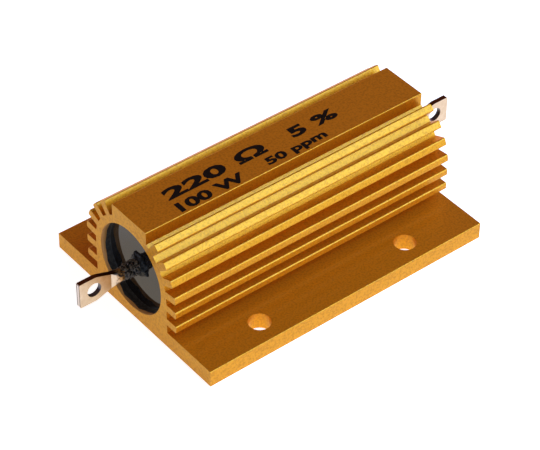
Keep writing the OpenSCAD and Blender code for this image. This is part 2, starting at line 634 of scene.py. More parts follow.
@dataclass(frozen=True)
class PlainFinish:
    """A finish with one colour that shifts a little in patches, and a fine surface grain.

    The grain is drawn as coarse as it needs to be to show. Lengths are in millimetres.
    """

    name: str
    light: str
    dark: str
    metallic: float
    roughness: float
    patch_size: float
    grain_size: float
    grain_depth: float
    gloss: float = 1.5

    def build(self) -> Material:
        """Makes the finish.

        Returns:
            The material, ready to dress pieces with.
        """
        material, tree = new_tree(self.name)
        place = add(tree, "ShaderNodeTexCoord")
        patches, grain = (
            add(
                tree,
                "ShaderNodeTexNoise",
                {"Vector": place.outputs["Object"], "Scale": per_mm(size), "Detail": 2.0},
            )
            for size in (self.patch_size, self.grain_size)
        )
        colour = lay_over(tree, linear(self.light), ((patches, linear(self.dark)),))
        bump = add(tree, "ShaderNodeBump", {"Height": grain, "Distance": self.grain_depth * MM})
        surface = add(
            tree,
            "ShaderNodeBsdfPrincipled",
            {
                "Base Color": colour,
                "Metallic": self.metallic,
                "Roughness": self.roughness,
                "IOR": self.gloss,
                "Normal": bump,
            },
        )
        close_shader(tree, surface)
        return material


# the thin lip that climbed the bore: charcoal, half dull
CREPT_COMPOUND = MouldingCompound(
    name="crept_black_compound",
    body="#4f504d",
    pits="#3b3c3a",
    gloss=1.4,
    roughness=0.35,
    wave_size=0.6,
)
# the mound at the foot of the collar: black and dull
HEAPED_COMPOUND = MouldingCompound(
    name="heaped_black_compound",
    body="#2b2c2b",
    pits="#1c1d1c",
    gloss=1.3,
    roughness=0.4,
    wave_size=0.6,
)
# the collar: torn as it cured, with a painted highlight of brownish grey on the crests and painted
# shade of black in the hollows
COLLAR_COMPOUND = MouldingCompound(
    name="collar_black_compound",
    body="#8c8474",
    pits="#171410",
    gloss=1.4,
    roughness=0.5,
    wave_size=0.4,
    wave_depth=0.3,
)
# anodised aluminium where the bore was cut: duller than the dyed faces, and painted a pale colour
# that makes the shaded wall look lit, which is painted light
BORE_WALL_PAINTED_LIGHT = PlainFinish(
    name="bored_aluminium",
    light="#ffcb80",
    dark="#f0ae5c",
    metallic=0.1,
    roughness=0.55,
    patch_size=1.2,
    grain_size=0.2,
    grain_depth=0.01,
)
# fired steatite: off-white and matt
CORE_CERAMIC = PlainFinish(
    name="fired_steatite",
    light="#efe9dc",
    dark="#e2d9c8",
    metallic=0.0,
    roughness=0.6,
    patch_size=6,
    grain_size=0.2,
    grain_depth=0.01,
)
# pressed stainless steel: cool grey with a soft shine
CAP_STEEL = PlainFinish(
    name="pressed_steel",
    light="#c9ccce",
    dark="#b4b7ba",
    metallic=1.0,
    roughness=0.3,
    patch_size=3,
    grain_size=0.1,
    grain_depth=0.003,
)
# drawn resistance alloy: dull warm grey
RESISTANCE_WIRE = PlainFinish(
    name="drawn_alloy_wire",
    light="#a39a8e",
    dark="#7f776d",
    metallic=1.0,
    roughness=0.4,
    patch_size=2,
    grain_size=0.1,
    grain_depth=0.003,
)
# pad-printed marking ink: flat warm black that mirrors hardly anything
MARKING_INK = PlainFinish(
    name="marking_ink",
    light="#120c06",
    dark="#1c120a",
    metallic=0.0,
    roughness=0.6,
    patch_size=0.8,
    grain_size=0.1,
    grain_depth=0.004,
    gloss=1.15,
)


# ---------------------------------------------------------------------------------------------
# The resistor
# ---------------------------------------------------------------------------------------------


class End(Enum):
    """The two ends of the resistor, with their direction along the X axis."""

    LEFT = -1
    RIGHT = 1


@dataclass
class GeometryTree:
    """A Geometry Nodes tree with named inputs, which makes one plain mesh.

    Attributes:
        name: The name of the tree.
        inputs: For each named input, its socket type and value.
    """

    name: str
    inputs: dict[str, tuple[str, Any]]
    tree: Tree = field(init=False)
    entry: Node = field(init=False)

    def __post_init__(self) -> None:
        """Makes the tree and its interface."""
        self.tree = bpy.data.node_groups.new(self.name, "GeometryNodeTree")
        for label, (kind, _value) in self.inputs.items():
            self.tree.interface.new_socket(label, in_out="INPUT", socket_type=kind)
        self.tree.interface.new_socket(
            "Geometry", in_out="OUTPUT", socket_type="NodeSocketGeometry"
        )
        self.entry = add(self.tree, "NodeGroupInput")

    def value(self, label: str) -> Socket:
        """Returns the output that carries a named input's value."""
        return self.entry.outputs[label]

    def close(self, geometry: Node) -> None:
        """Ends the tree in Realize Instances and Set Material.

        Args:
            geometry: The last node of the geometry that the tree makes.
        """
        real = add(self.tree, "GeometryNodeRealizeInstances", {"Geometry": geometry})
        dressed = add(
            self.tree,
            "GeometryNodeSetMaterial",
            {"Geometry": real, "Material": self.value("Material")},
        )
        add(self.tree, "NodeGroupOutput", {"Geometry": dressed})

    def make(self, name: str) -> Piece:
        """Runs the tree once and keeps its result as a plain mesh.

        Args:
            name: The name of the piece.

        Returns:
            The piece, at the origin, with no modifier on it.
        """
        seed = bpy.data.meshes.new(name)
        piece = new_piece(name, seed)
        modifier = piece.modifiers.new(self.name, "NODES")
        modifier.node_group = self.tree
        for item in self.tree.interface.items_tree:
            if item.in_out == "INPUT" and item.name in self.inputs:
                modifier[item.identifier] = self.inputs[item.name][1]
        graph = bpy.context.evaluated_depsgraph_get()
        mesh = bpy.data.meshes.new_from_object(piece.evaluated_get(graph), depsgraph=graph)
        piece.modifiers.remove(modifier)
        piece.data = mesh
        mesh.name = name
        bpy.data.meshes.remove(seed)
        return piece


@dataclass
class PouredRing:
    """A closed ring of compound round the bore axis, with a section that changes as it goes.

    Lengths are in metres. Each point of the section holds its radius, its distance from the
    floor of the dish, and how far the cusps and lumps may move it, from 0 to 1. The section
    starts and ends at the same point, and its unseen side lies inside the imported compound.

    Attributes:
        name: The name of the piece.
        end: Which end of the housing.
        floor: Distance from the middle of the housing to the floor of the dish.
        axis_height: Height of the bore axis.
        section: The points of the section, in order.
        material: The finish.
        cusp_height: How far a cusp climbs along the bore.
        lean: How much higher the ring stands at the bottom of the bore than at its top.
        cusp_spacing: Distance between cusps, as a share of the ring's radius.
        cusp_span: Where a cusp's rise starts and ends, as distances from the middle of a cell.
        cusp_sharpness: The power that its rise follows.
        lump_height: How far a lump stands out.
        lump_size: Distance between lumps.
        around: How many points the ring has round the axis.
        across: How many points its section has.
        crease: The angle in degrees from which an edge looks sharp.
        seed: What sets the cusps and lumps of this ring apart.
    """

    name: str
    end: End
    floor: float
    axis_height: float
    section: tuple[tuple[float, float, float], ...]
    material: Material
    cusp_height: float = 0.0
    lean: float = 0.0
    cusp_spacing: float = 0.5
    cusp_span: tuple[float, float] = (0.3, 0.9)
    cusp_sharpness: float = 1.3
    lump_height: float = 0.0
    lump_size: float = 1.0 * MM
    around: int = 288
    across: int = 41
    crease: float = 50.0
    seed: float = 0.0

    def curve(self, tree: Tree, along: Socket, column: int) -> Socket:
        """Adds a curve that follows one column of the section.

        Args:
            tree: The geometry tree.
            along: How far round the section a point lies, from 0 to 1.
            column: 0 for the radius, 1 for the distance from the floor, 2 for the freedom.

        Returns:
            The column's value at that point, in metres or as a share.
        """
        values = [point[column] for point in self.section]
        low, high = min(values), max(values)
        span = max(high - low, 1e-9)
        node = add(tree, "ShaderNodeFloatCurve", {"Value": along})
        points = node.mapping.curves[0].points
        steps = len(values) - 1
        for i, value in enumerate(values):
            place = (i / steps, (value - low) / span)
            if i in (0, steps):
                points[0 if i == 0 else -1].location = place
            else:
                points.new(*place)
        for point in points:
            point.handle_type = "AUTO_CLAMPED"
        node.mapping.update()
        scaled = add(tree, "ShaderNodeMath", {0: node, 1: span, 2: low}, operation="MULTIPLY_ADD")
        return scaled.outputs[0]

    def climb(self, ring: GeometryTree, cosine: Socket, sine: Socket) -> Socket:
        """Adds the nodes for how far the ring climbs along the bore.

        The edge sags inside each cell of a pattern, and rises to a sharp cusp where cells meet.

        Args:
            ring: The ring's tree.
            cosine: Where a point lies across the axis, from -1 to 1.
            sine: Where it lies above the axis, from -1 to 1.

        Returns:
            The climb in metres.
        """
        tree = ring.tree
        circle = add(
            tree, "ShaderNodeCombineXYZ", {"X": cosine, "Y": sine, "Z": ring.value("Seed")}
        )
        often = add(
            tree, "ShaderNodeMath", {0: 1.0, 1: ring.value("Cusp spacing")}, operation="DIVIDE"
        )
        cells = add(
            tree,
            "ShaderNodeTexVoronoi",
            {"Vector": circle, "Scale": often, "Randomness": 0.9},
            voronoi_dimensions="3D",
        )
        from_sag = add(
            tree,
            "ShaderNodeMapRange",
            {
                "Value": cells.outputs["Distance"],
                "From Min": ring.value("Cusp foot"),
                "From Max": ring.value("Cusp tip"),
            },
        )
        peak = add(tree, "ShaderNodeMath", {0: from_sag, 1: self.cusp_sharpness}, operation="POWER")
        cusp = add(
            tree, "ShaderNodeMath", {0: peak, 1: ring.value("Cusp height")}, operation="MULTIPLY"
        )
        lowness = add(
            tree, "ShaderNodeMapRange", {"Value": sine, "From Min": 1.0, "From Max": -1.0}
        )
        raised = add(
            tree,
            "ShaderNodeMath",
            {0: lowness, 1: ring.value("Lean"), 2: cusp},
            operation="MULTIPLY_ADD",
        )
        return raised.outputs[0]

    def lump(self, ring: GeometryTree, place: Socket) -> Socket:
        """Adds the nodes for how far a lump moves a point away from the axis or towards it.

        Args:
            ring: The ring's tree.
            place: Where the point lies on the smooth ring.

        Returns:
            The lump in metres.
        """
        often = add(
            ring.tree, "ShaderNodeMath", {0: 1.0, 1: ring.value("Lump size")}, operation="DIVIDE"
        )
        noise = add(
            ring.tree,
            "ShaderNodeTexNoise",
            {"Vector": place, "W": ring.value("Seed"), "Scale": often, "Detail": 2.0},
            noise_dimensions="4D",
        )
        centred = add(ring.tree, "ShaderNodeMath", {0: noise, 1: 0.5}, operation="SUBTRACT")
        height = add(
            ring.tree,
            "ShaderNodeMath",
            {0: centred, 1: ring.value("Lump height")},
            operation="MULTIPLY",
        )
        return height.outputs[0]

    def make(self) -> Piece:
        """Makes the ring.

        Returns:
            The ring as a plain mesh that rides on the resistor.
        """
        cusp_foot, cusp_tip = self.cusp_span
        ring = GeometryTree(
            self.name,
            {
                "Around": ("NodeSocketInt", self.around),
                "Across": ("NodeSocketInt", self.across),
                "Cusp height": ("NodeSocketFloat", self.cusp_height),
                "Lean": ("NodeSocketFloat", self.lean),
                "Cusp foot": ("NodeSocketFloat", cusp_foot),
                "Cusp tip": ("NodeSocketFloat", cusp_tip),
                "Cusp spacing": ("NodeSocketFloat", self.cusp_spacing),
                "Lump height": ("NodeSocketFloat", self.lump_height),
                "Lump size": ("NodeSocketFloat", self.lump_size),
                "Floor": ("NodeSocketFloat", self.floor),
                "Axis height": ("NodeSocketFloat", self.axis_height),
                "Facing": ("NodeSocketFloat", float(self.end.value)),
                "Seed": ("NodeSocketFloat", self.seed),
                "Material": ("NodeSocketMaterial", self.material),
            },
        )
        tree = ring.tree
        grid = add(
            tree,
            "GeometryNodeMeshGrid",
            {
                "Size X": 1.0,
                "Size Y": 1.0,
                "Vertices X": ring.value("Around"),
                "Vertices Y": ring.value("Across"),
            },
        )
        sheet = add(tree, "GeometryNodeInputPosition")
        place = add(tree, "ShaderNodeSeparateXYZ", {"Vector": sheet})
        angle = add(
            tree, "ShaderNodeMath", {0: place.outputs["X"], 1: 2 * math.pi}, operation="MULTIPLY"
        )
        section = add(tree, "ShaderNodeMath", {0: place.outputs["Y"], 1: 0.5}, operation="ADD")
        radius, height, freedom = (self.curve(tree, section.outputs[0], i) for i in range(3))
        cosine, sine = (
            add(tree, "ShaderNodeMath", {0: angle}, operation=name).outputs[0]
            for name in ("COSINE", "SINE")
        )
        across, rise = (
            add(tree, "ShaderNodeMath", {0: radius, 1: part}, operation="MULTIPLY")
            for part in (cosine, sine)
        )
        smooth_place = add(tree, "ShaderNodeCombineXYZ", {"X": height, "Y": across, "Z": rise})
        free_height, free_radius = (
            add(tree, "ShaderNodeMath", {0: move, 1: freedom, 2: start}, operation="MULTIPLY_ADD")
            for move, start in (
                (self.climb(ring, cosine, sine), height),
                (self.lump(ring, smooth_place.outputs[0]), radius),
            )
        )
        out = add(tree, "ShaderNodeMath", {0: free_height, 1: ring.value("Floor")}, operation="ADD")
        along = add(tree, "ShaderNodeMath", {0: out, 1: ring.value("Facing")}, operation="MULTIPLY")
        side = add(tree, "ShaderNodeMath", {0: free_radius, 1: cosine}, operation="MULTIPLY")
        up = add(
            tree,
            "ShaderNodeMath",
            {0: free_radius, 1: sine, 2: ring.value("Axis height")},
            operation="MULTIPLY_ADD",
        )
        wrapped = add(tree, "ShaderNodeCombineXYZ", {"X": along, "Y": side, "Z": up})
        moved = add(
            tree, "GeometryNodeSetPosition", {"Geometry": grid.outputs["Mesh"], "Position": wrapped}
        )
        sewn = add(tree, "GeometryNodeMergeByDistance", {"Geometry": moved, "Distance": 0.002 * MM})
        smooth = add(tree, "GeometryNodeSetShadeSmooth", {"Geometry": sewn})
        ring.close(smooth)
        piece = ring.make(self.name)
        close_mesh(piece.data)
        piece.data.set_sharp_from_angle(angle=math.radians(self.crease))
        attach(piece, BODY)
        return piece


@dataclass
class WoundElement:
    """The resistance wire, wound as one smooth coil on the ceramic core.

    Lengths are in metres.

    Attributes:
        low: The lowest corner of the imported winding.
        high: Its highest corner.
        finish: The wire's finish.
        wire: The diameter of the wire.
        turns: How many turns it has.
        steps_per_turn: How many straight steps a turn is made of.
        wire_sides: How many sides the wire's section has.
    """

    low: Vector
    high: Vector
    finish: Material
    wire: float = 0.9 * MM
    turns: float = 17.0
    steps_per_turn: int = 32
    wire_sides: int = 12

    def make(self) -> Piece:
        """Makes the coil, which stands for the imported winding.

        Returns:
            The coil as a plain mesh that rides on the resistor.
        """
        radius = (self.high.y - self.low.y - self.wire) / 2
        length = self.high.x - self.low.x - self.wire
        coil = GeometryTree(
            "resistance_coil",
            {
                "Turns": ("NodeSocketFloat", self.turns),
                "Steps": ("NodeSocketInt", self.steps_per_turn),
                "Coil radius": ("NodeSocketFloat", radius),
                "Coil length": ("NodeSocketFloat", length),
                "Wire radius": ("NodeSocketFloat", self.wire / 2),
                "Wire sides": ("NodeSocketInt", self.wire_sides),
                "Start": ("NodeSocketVector", (-length / 2, 0, (self.low.z + self.high.z) / 2)),
                "Turn": ("NodeSocketVector", (0, math.pi / 2, 0)),
                "Material": ("NodeSocketMaterial", self.finish),
            },
        )
        tree = coil.tree
        spiral = add(
            tree,
            "GeometryNodeCurveSpiral",
            {
                "Resolution": coil.value("Steps"),
                "Rotations": coil.value("Turns"),
                "Start Radius": coil.value("Coil radius"),
                "End Radius": coil.value("Coil radius"),
                "Height": coil.value("Coil length"),
            },
        )
        wire = add(
            tree,
            "GeometryNodeCurvePrimitiveCircle",
            {"Resolution": coil.value("Wire sides"), "Radius": coil.value("Wire radius")},
        )
        skin = add(
            tree,
            "GeometryNodeCurveToMesh",
            {"Curve": spiral, "Profile Curve": wire.outputs["Curve"], "Fill Caps": True},
        )
        placed = add(
            tree,
            "GeometryNodeTransform",
            {"Geometry": skin, "Translation": coil.value("Start"), "Rotation": coil.value("Turn")},
        )
        smooth = add(tree, "GeometryNodeSetShadeSmooth", {"Geometry": placed})
        coil.close(smooth)
        piece = coil.make("resistance_coil")
        close_mesh(piece.data)
        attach(piece, BODY)
        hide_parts("resistance_winding")
        return piece


@dataclass
class MouldedBody:
    """The moulding, with the floor of each dish as wide and as high as the poured one.

    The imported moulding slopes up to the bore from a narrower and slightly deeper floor. Here that
    slope is laid flat, level with the poured floor, and the collar is thinned. Lengths are in
    millimetres, except for the two corners, which are in metres.

    Attributes:
        packed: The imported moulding.
        low: Its lowest corner.
        high: Its highest corner.
        finish: The compound's finish.
        floor_place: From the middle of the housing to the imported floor.
        poured_floor_place: From the middle of the housing to the poured floor.
        poured_collar_radius: The radius of the thinned collar.
        widest_collar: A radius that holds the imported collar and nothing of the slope.
        near_enough: How far a point may be from the floor or the bore and still belong to it.
        crease: The angle in degrees from which an edge looks sharp.
    """

    packed: Piece
    low: Vector
    high: Vector
    finish: Material
    floor_place: float = 30.25
    poured_floor_place: float = 30.6
    poured_collar_radius: float = 1.3
    widest_collar: float = 2.0
    near_enough: float = 0.1
    crease: float = 25.0

    def moved(self, place: Vector) -> tuple[float, float, float]:
        """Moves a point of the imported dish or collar, and leaves every other point where it is.

        Args:
            place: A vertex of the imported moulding, in metres.

        Returns:
            Its new place, in metres.
        """
        x, y, z = place
        past_floor = abs(x) / MM - self.floor_place
        if past_floor < -self.near_enough:
            return (x, y, z)
        axis_height = (self.low.z + self.high.z) / 2
        radius = math.hypot(y, z - axis_height)
        on_collar = radius < self.widest_collar * MM
        on_bore = radius >= (self.high.y - self.low.y) / 2 - self.near_enough * MM
        # level with the floor only the bore's own points stay, and above it only the collar's
        stays = on_bore if past_floor < self.near_enough else on_collar
        if not stays:
            x = math.copysign(self.poured_floor_place * MM, x)
        if on_collar and radius > self.poured_collar_radius * MM:
            share = self.poured_collar_radius * MM / radius
            y *= share
            z = axis_height + (z - axis_height) * share
        return (x, y, z)

    def make(self) -> Piece:
        """Makes the body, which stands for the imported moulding.

        Returns:
            The body as a plain mesh that rides on the resistor.
        """
        source = self.packed.data
        turn = self.packed.matrix_world
        mesh = new_mesh(
            "moulded_body",
            [self.moved(turn @ vertex.co) for vertex in source.vertices],
            [tuple(face.vertices) for face in source.polygons],
        )
        close_mesh(mesh, turn_outwards=False)
        piece = new_piece("moulded_body", mesh)
        mesh.shade_smooth()
        mesh.set_sharp_from_angle(angle=math.radians(self.crease))
        dress(piece, self.finish)
        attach(piece, BODY)
        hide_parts("moulding")
        return piece


@dataclass
class MouldedEnd:
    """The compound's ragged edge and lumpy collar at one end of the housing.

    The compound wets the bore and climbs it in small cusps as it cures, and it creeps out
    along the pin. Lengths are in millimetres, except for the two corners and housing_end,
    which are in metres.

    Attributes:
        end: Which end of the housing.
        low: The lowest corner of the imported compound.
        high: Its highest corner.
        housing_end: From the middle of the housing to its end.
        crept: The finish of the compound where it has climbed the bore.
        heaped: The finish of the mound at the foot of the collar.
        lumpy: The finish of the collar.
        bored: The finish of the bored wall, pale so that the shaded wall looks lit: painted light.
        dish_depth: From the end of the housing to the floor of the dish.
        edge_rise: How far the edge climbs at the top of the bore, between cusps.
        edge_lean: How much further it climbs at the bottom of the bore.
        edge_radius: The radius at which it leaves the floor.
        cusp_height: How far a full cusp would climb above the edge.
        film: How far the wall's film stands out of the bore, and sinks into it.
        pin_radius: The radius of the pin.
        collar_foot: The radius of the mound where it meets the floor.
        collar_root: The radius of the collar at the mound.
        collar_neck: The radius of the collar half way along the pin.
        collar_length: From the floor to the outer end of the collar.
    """

    end: End
    low: Vector
    high: Vector
    housing_end: float
    crept: Material
    heaped: Material
    lumpy: Material
    bored: Material
    dish_depth: float = 2.0
    edge_rise: float = 0.35
    edge_lean: float = 1.05
    edge_radius: float = 9.05
    cusp_height: float = 1.1
    film: float = 0.02
    pin_radius: float = 1.25
    collar_foot: float = 2.5
    collar_root: float = 1.55
    collar_neck: float = 1.42
    collar_length: float = 4.15

    def ring(
        self,
        part: str,
        section: tuple[tuple[float, float, float], ...],
        material: Material,
        **settings: float,
    ) -> Piece:
        """Makes one ring of this end.

        Args:
            part: What the ring is, for its name.
            section: The points of its section, with lengths in millimetres.
            material: Its finish.
            **settings: The ring's other fields, with lengths in metres.

        Returns:
            The ring as a plain mesh that rides on the resistor.
        """
        return PouredRing(
            name=f"{part}_{self.end.name.lower()}",
            end=self.end,
            floor=self.housing_end - self.dish_depth * MM,
            axis_height=(self.low.z + self.high.z) / 2,
            section=tuple((r * MM, out * MM, freedom) for r, out, freedom in section),
            material=material,
            **settings,
        ).make()

    def bore(self) -> float:
        """Returns the radius of the bore."""
        return (self.high.y - self.low.y) / 2 / MM

    def edge(self) -> Piece:
        """Makes the ring that curves from the floor of the dish up to its edge on the bore.

        Returns:
            The ring, with its cusps.
        """
        width = self.bore() - self.edge_radius
        steps = 8
        shares = [i / steps for i in range(steps + 1)]
        top = [
            (self.bore() - width * share, self.edge_rise * (1 - share) ** 1.1, (1 - share) ** 2)
            for share in shares
        ]
        under = [
            (self.edge_radius + width / 2, -0.1, 0.0), (self.bore(), self.edge_rise * 0.3, 0.0)
        ]
        return self.ring(
            "compound_edge",
            (*top, *under, top[0]),
            self.crept,
            cusp_height=self.cusp_height * MM,
            lean=self.edge_lean * MM,
            seed=2.0 + self.end.value,
        )

    def wall(self) -> Piece:
        """Makes the thin film on the bored wall, between the compound and the housing's end, which
        carries a pale painted light.

        Returns:
            The film, which gives the wall a pale colour of painted light.
        """
        low = self.edge_rise * 0.6
        high = self.dish_depth - self.film
        inner = self.bore() - self.film
        outer = self.bore() + self.film
        section = (
            (inner, low, 0.0),
            (inner, (low + high) / 2, 0.0),
            (inner, high, 0.0),
            (outer, high, 0.0),
            (outer, low, 0.0),
            (inner, low, 0.0),
        )
        # the film carries the pale painted light of the bore wall
        return self.ring("bored_wall", section, self.bored, across=6, crease=180.0)

    def foot(self) -> Piece:
        """Makes the low mound of compound that stands round the foot of the collar.

        Returns:
            The mound.
        """
        hidden = self.pin_radius - 0.1
        foot = self.collar_foot
        root = self.collar_root
        section = (
            (foot, -0.05, 1.0),
            (foot * 0.97, 0.16, 1.0),
            (foot * 0.85, 0.42, 1.0),
            ((foot + root) * 0.47, 0.62, 0.8),
            (root, 0.8, 0.4),
            (hidden, 0.9, 0.0),
            (hidden, -0.1, 0.0),
            (foot * 0.9, -0.2, 0.0),
            (foot, -0.05, 1.0),
        )
        return self.ring(
            "compound_foot",
            section,
            self.heaped,
            lump_height=2.6 * MM,
            lump_size=1.3 * MM,
            around=120,
            seed=8.0 + self.end.value,
        )

    def collar(self) -> Piece:
        """Makes the thin, lumpy sleeve of compound that has crept out along the pin.

        Returns:
            The sleeve.
        """
        hidden = self.pin_radius - 0.1
        root = self.collar_root
        neck = self.collar_neck
        length = self.collar_length
        section = (
            (root * 1.1, 0.1, 0.6),
            (root, length * 0.3, 1.0),
            (neck * 1.04, length * 0.5, 1.0),
            (neck, length * 0.7, 1.0),
            (neck * 0.97, length * 0.9, 0.8),
            (self.pin_radius * 1.04, length, 0.4),
            (hidden, length * 0.97, 0.0),
            (hidden, 0.1, 0.0),
            (root * 1.1, 0.1, 0.6),
        )
        return self.ring(
            "compound_collar",
            section,
            self.lumpy,
            lump_height=1.1 * MM,
            lump_size=0.7 * MM,
            around=120,
            across=61,
            seed=5.0 + self.end.value,
        )


@dataclass(frozen=True)
class Mark:
    """One word of the print, with its place and size in millimetres.

    Attributes:
        text: What the word says.
        start: Where it starts along the housing.
        base: Where its foot stands across the housing.
        height: The height of its capitals.
        width: Its whole width.
    """

    text: str
    start: float
    base: float
    height: float
    width: float


@dataclass
class Housing:
    """The finned extrusion and the marks printed on its top flat.

    The marks are plain electrical ratings.

    Attributes:
        top: The highest corner of the housing, in metres.
        finish: The extrusion's finish.
        ink: The ink's finish.
        ink_thickness: How far the ink stands out of the top flat, and sinks into it, in
            millimetres.
        stroke_growth: How much the strokes are thickened, as a share of the letters' size.
        letter_curve_steps: How many steps a curved stroke has.
        marks: The words.
    """

    top: Vector
    finish: Material
    ink: Material
    ink_thickness: float = 0.02
    stroke_growth: float = 0.042
    letter_curve_steps: int = 3
    marks: tuple[Mark, ...] = (
        Mark("220 Ω", start=-24.0, base=-0.7, height=3.3, width=23.0),
        Mark("5 %", start=5.0, base=-0.7, height=3.0, width=11.0),
        Mark("100 W", start=-24.0, base=-4.6, height=2.7, width=15.0),
        Mark("50 ppm", start=-3.5, base=-4.6, height=2.7, width=14.0),
    )

    def dress(self, node: Piece) -> None:
        """Gives the extrusion its finish."""
        dress(node, self.finish)

    def one_mark(self, mark: Mark) -> Mesh:
        """Makes one word of the print as a thin closed mesh, sunk by as much as it stands out.

        Args:
            mark: The word.

        Returns:
            The word as a mesh, in place.
        """
        curve = bpy.data.curves.new("mark", "FONT")
        curve.body = mark.text
        curve.offset = self.stroke_growth
        curve.extrude = self.ink_thickness
        curve.resolution_u = self.letter_curve_steps
        word = new_piece("mark", curve)
        graph = bpy.context.evaluated_depsgraph_get()
        mesh = bpy.data.meshes.new_from_object(word.evaluated_get(graph), depsgraph=graph)
        bpy.data.objects.remove(word)
        xs = [vertex.co.x for vertex in mesh.vertices]
        ys = [vertex.co.y for vertex in mesh.vertices]
        across = mark.width * MM / (max(xs) - min(xs))
        up = mark.height * MM / (max(ys) - min(ys))
        for vertex in mesh.vertices:
            vertex.co = (
                mark.start * MM + (vertex.co.x - min(xs)) * across,
                mark.base * MM + (vertex.co.y - min(ys)) * up,
                self.top.z + math.copysign(self.ink_thickness * MM, vertex.co.z),
            )
        close_mesh(mesh)
        return mesh

    def print_marks(self) -> Piece:
        """Prints the ratings on the top flat.

        Returns:
            The print as one piece.
        """
        vertices: list[tuple[float, float, float]] = []
        faces: list[tuple[int, ...]] = []
        for mark in self.marks:
            mesh = self.one_mark(mark)
            first = len(vertices)
            vertices += [tuple(vertex.co) for vertex in mesh.vertices]
            faces += [tuple(first + i for i in face.vertices) for face in mesh.polygons]
            bpy.data.meshes.remove(mesh)
        piece = new_piece("rating_marks", new_mesh("rating_marks", vertices, faces))
        dress(piece, self.ink)
        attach(piece, BODY)
        return piece


# ---------------------------------------------------------------------------------------------
# The studio
# ---------------------------------------------------------------------------------------------


@dataclass(frozen=True)
class Panel:
    """A glowing part of the dome round the set: a soft box, a reflector or a drape.

    Angles are in degrees. An azimuth of 0 is on the -Y side of the set, and 90 on the +X side.

    Attributes:
        name: The name of the panel and of its glow.
        azimuths: Where it starts and ends round the set.
        elevations: Where it starts and ends above the table.
        radiance: How bright it is.
        colour: The colour of its light.
        radius: How far it is from the set, in metres.
        step: The width of one of its faces.
    """

    name: str
    azimuths: tuple[float, float]
    elevations: tuple[float, float]
    radiance: float
    colour: str = "#ffffff"
    radius: float = 3.2
    step: float = 8.0

    def mesh(self) -> Mesh:
        """Makes the panel's mesh.

        Returns:
            A patch of a sphere round the set.
        """
        left, right = self.azimuths
        low, high = self.elevations
        across = max(2, round((right - left) / self.step))
        up = max(2, round((high - low) / self.step))
        vertices = [
            towards(left + (right - left) * i / across, low + (high - low) * j / up) * self.radius
            for j in range(up + 1)
            for i in range(across + 1)
        ]
        row = across + 1
        faces = [
            (j * row + i, j * row + i + 1, (j + 1) * row + i + 1, (j + 1) * row + i)
            for j in range(up)
            for i in range(across)
        ]
        return new_mesh(self.name, vertices, faces)

    def hang(self) -> None:
        """Hangs the panel, which lights the set and shows in reflections, unseen by the camera."""
        piece = new_piece(self.name, self.mesh())
        material, tree = new_tree(self.name)
        glow = add(
            tree, "ShaderNodeEmission", {"Color": linear(self.colour), "Strength": self.radiance}
        )
        close_shader(tree, glow)
        dress(piece, material)
        piece.visible_camera = False


def towards(azimuth: float, elevation: float) -> Vector:
    """Turns two angles in degrees into a direction from the set.

    Args:
        azimuth: 0 for the -Y side of the set, 90 for the +X side.
        elevation: 0 for level, 90 for straight up.

    Returns:
        The unit vector in that direction.
    """
    a = math.radians(azimuth)
    e = math.radians(elevation)
    return Vector((math.sin(a) * math.cos(e), -math.cos(a) * math.cos(e), math.sin(e)))


